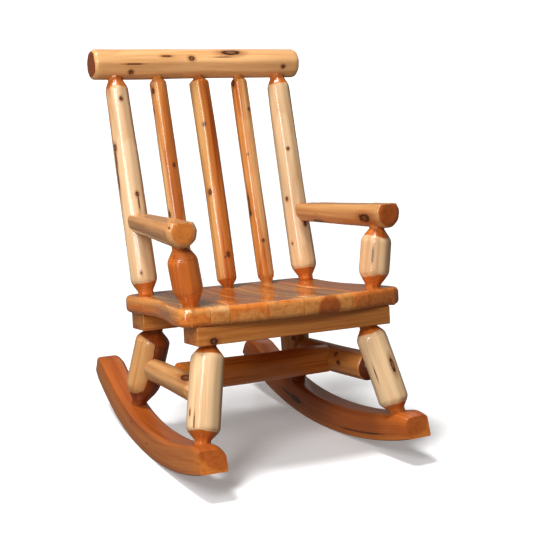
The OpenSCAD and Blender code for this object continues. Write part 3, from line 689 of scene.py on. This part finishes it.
STRETCHERS = (("side_stretcher_left", LEFT, 0.033, 0.059, 0.054, STRETCHER_TAN, HONEY, 0.029,
               [(0.366, 26, 0.012, 0.35)]),
              ("side_stretcher_right", RIGHT, 0.040, 0.0535, 0.0515, HONEY, DARK, 0.037,
               [(0.28, 54, 0.006, 0.9), (0.303, 85, 0.006, 0.7)]))
for node, side, radius, low, high, sap, heart, heart_radius, marks in STRETCHERS:
    pole(node, *side_stretcher_ends(side), low, high, radius, radius, SMALL_TENON_R, (0.012, 0.012), UP,
         wood(node, sap, heart, heart_radius, on_pole(marks, radius), streaks=0.6), "tan_log")

cross_l = (cross_end(RIGHT) - cross_end(LEFT)).length
bm = lathe([(CROSS_START, 0), (CROSS_START, CROSS_R), (cross_l - CROSS_START, CROSS_R), (cross_l - CROSS_START, 0)])
keep_grain(bm)
hand_peeled(bm, next(seeds), length=0.5)
finish_piece("cross_stretcher", bm,
             wood("cross_stretcher", CROSS_OUTER, CROSS_INNER, 0.041, streaks=0.8, edge=0.003),
             log_frame(cross_end(LEFT), cross_end(RIGHT), UP), 50)

# ---- Rockers ----

SWEEP_R, SWEEP_STEPS = 1.150, 96
INNER_ROUND, OUTER_ROUND, EDGE_ROUND = 0.027, 0.011, 0.005
END_FALL, FALL_REACH, END_NARROW, NARROW_REACH, END_RUN = 0.34, 0.075, 0.10, 0.05, 0.012
ROCKER_WAVE = 0.0015


def rocker(node, side, knots):
    """The section is swept round an even arc, then bent to the two radii. The top falls at the ends."""
    front_l = math.asin(ROCKER_FRONT / ROCKER_FRONT_R) * ROCKER_FRONT_R
    rear_l = math.asin(ROCKER_REAR / ROCKER_REAR_R) * ROCKER_REAR_R
    half = ROCKER_W / 2
    bm = bmesh.new()
    corners = [(-half, 0), (half, 0), (half, ROCKER_T), (-half, ROCKER_T)]
    bm.faces.new([bm.verts.new((x, 0, z - SWEEP_R)) for x, z in corners])
    for across, offset in ((-side, INNER_ROUND), (side, OUTER_ROUND)):
        tops = [v for v in bm.verts if v.co.z > 0.05 - SWEEP_R and abs(v.co.x - across * half) < 1e-6]
        bmesh.ops.bevel(bm, geom=tops, offset=offset, offset_type="OFFSET", segments=6, profile=0.5,
                        affect="VERTICES", material=-1)
    feet = [v for v in bm.verts if v.co.z < 0.001 - SWEEP_R]
    bmesh.ops.bevel(bm, geom=feet, offset=EDGE_ROUND, offset_type="OFFSET", segments=3, profile=0.5,
                    affect="VERTICES", material=-1)
    bmesh.ops.rotate(bm, cent=(0, 0, 0), matrix=Matrix.Rotation(-front_l / SWEEP_R, 3, "X"),
                     verts=bm.verts[:])
    bmesh.ops.spin(bm, geom=bm.verts[:] + bm.edges[:] + bm.faces[:], cent=(0, 0, 0), axis=(1, 0, 0),
                   angle=(front_l + rear_l) / SWEEP_R, steps=SWEEP_STEPS)
    bmesh.ops.recalc_face_normals(bm, faces=bm.faces[:])
    grain = bm.verts.layers.float_vector.new("grain")
    for vert in bm.verts:
        x, y, z = vert.co
        s = math.atan2(y, -z) * SWEEP_R
        depth = (SWEEP_R - math.hypot(y, z)) / ROCKER_T
        vert[grain] = (x + 0.03 * side, depth * ROCKER_T - 0.085, s)
        end = min(front_l + s, rear_l - s)
        fall = END_FALL * max(0.0, 1 - (end + END_RUN) / FALL_REACH) ** 2
        wave = ROCKER_WAVE * noise.noise(Vector((x * 20, s * 6, side)))
        rise = ROCKER_T * depth * (1 - fall) + wave * min(depth * 3, 1)
        narrow = 1 - END_NARROW * max(0.0, 1 - (end + END_RUN) / NARROW_REACH)
        radius = rocking_radius(s)
        vert.co = (x * narrow, (radius - rise) * math.sin(s / radius),
                   radius - (radius - rise) * math.cos(s / radius))
    place = Matrix.Translation((side * ROCKER_X, SHIFT, 0)) @ Matrix.Rotation(side * ROCKER_SPLAY, 4, "Z")
    material = wood(node, AMBER, BURNT, 0.075, knots, ring_gap=0.0052, wobble=0.03, streaks=0.5, edge=0.01)
    finish_piece(node, bm, material, place, 40)


rocker("rocker_left", LEFT, [((-0.070, -0.035, 0.10), 0.003, 0.6), ((-0.070, -0.05, -0.05), 0.0025, 0.5)])
rocker("rocker_right", RIGHT, [((-0.010, -0.0475, 0.12), 0.009, 0.3), ((-0.010, -0.0475, 0.14), 0.004, 0.06),
                               ((-0.010, -0.066, -0.24), 0.0022, 0.02)])

# ---- Screws ----

steel = screw_steel()
for node in ("cleat_screws", "arm_screws", "rocker_screws"):
    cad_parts[node].data.materials.clear()
    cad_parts[node].data.materials.append(steel)

# ---- Floor, light and camera ----

CAMERA_PLACE = (-1.4501, -3.0094, 1.1204)
CAMERA_DIP, CAMERA_TURN = math.radians(10.6), math.radians(-26.86)

def stage_piece(name, bm, glow):
    mesh = bpy.data.meshes.new(name)
    bm.to_mesh(mesh)
    bm.free()
    stand = bpy.data.objects.new(name, mesh)
    bpy.context.collection.objects.link(stand)
    material = bpy.data.materials.new(name + "_white")
    material.use_nodes = True
    shader = material.node_tree.nodes["Principled BSDF"]
    shader.inputs["Base Color"].default_value = (0.86, 0.86, 0.87, 1)
    shader.inputs["Roughness"].default_value = 0.9
    shader.inputs["Specular IOR Level"].default_value = 0.1
    shader.inputs["Emission Color"].default_value = (1, 1, 1, 1)
    shader.inputs["Emission Strength"].default_value = glow
    mesh.materials.append(material)
    stand.visible_glossy = False
    stand.visible_diffuse = False
    stand.visible_shadow = False


def stage():
    floor = bmesh.new()
    bmesh.ops.create_grid(floor, x_segments=1, y_segments=1, size=12.0)
    stage_piece("floor", floor, 0.2)
    wall = bmesh.new()
    bmesh.ops.create_cone(wall, cap_ends=False, segments=64, radius1=11.0, radius2=11.0, depth=12.0)
    stage_piece("wall", wall, 1.0)


def area_light(name, place, target, size, watts):
    data = bpy.data.lights.new(name, "AREA")
    data.shape = "RECTANGLE"
    data.size, data.size_y = size
    data.energy = watts
    lamp = bpy.data.objects.new(name, data)
    lamp.location = place
    lamp.rotation_euler = (Vector(target) - Vector(place)).to_track_quat("-Z", "Y").to_euler()
    bpy.context.collection.objects.link(lamp)


stage()
area_light("key", (-2.3, -2.2, 2.6), (0, 0, 0.4), (0.9, 1.4), 72)
area_light("strip", (-2.9, -2.0, 1.2), (0, 0, 0.6), (0.4, 2.2), 30)
area_light("back", (1.8, 2.6, 2.4), (0, 0, 0.6), (1.4, 1.4), 4)
sun_data = bpy.data.lights.new("sun", "SUN")
sun_data.energy = 3.0
sun_data.angle = math.radians(14)
sun = bpy.data.objects.new("sun", sun_data)
sun.rotation_euler = Vector((-0.34, -0.05, 1)).to_track_quat("Z", "Y").to_euler()
bpy.context.collection.objects.link(sun)

world = bpy.data.worlds.new("studio")
bpy.context.scene.world = world
world.use_nodes = True
world.node_tree.nodes["Background"].inputs[0].default_value = (1.0, 0.93, 0.84, 1)
world.node_tree.nodes["Background"].inputs[1].default_value = 0.15
bpy.context.scene.view_settings.view_transform = "Standard"

camera_data = bpy.data.cameras.new("camera")
camera_data.lens = 81.05
camera_data.sensor_width = 36
camera = bpy.data.objects.new("camera", camera_data)
camera.location = CAMERA_PLACE
camera.rotation_euler = (math.radians(90) - CAMERA_DIP, 0, CAMERA_TURN)
bpy.context.collection.objects.link(camera)
bpy.context.scene.camera = camera
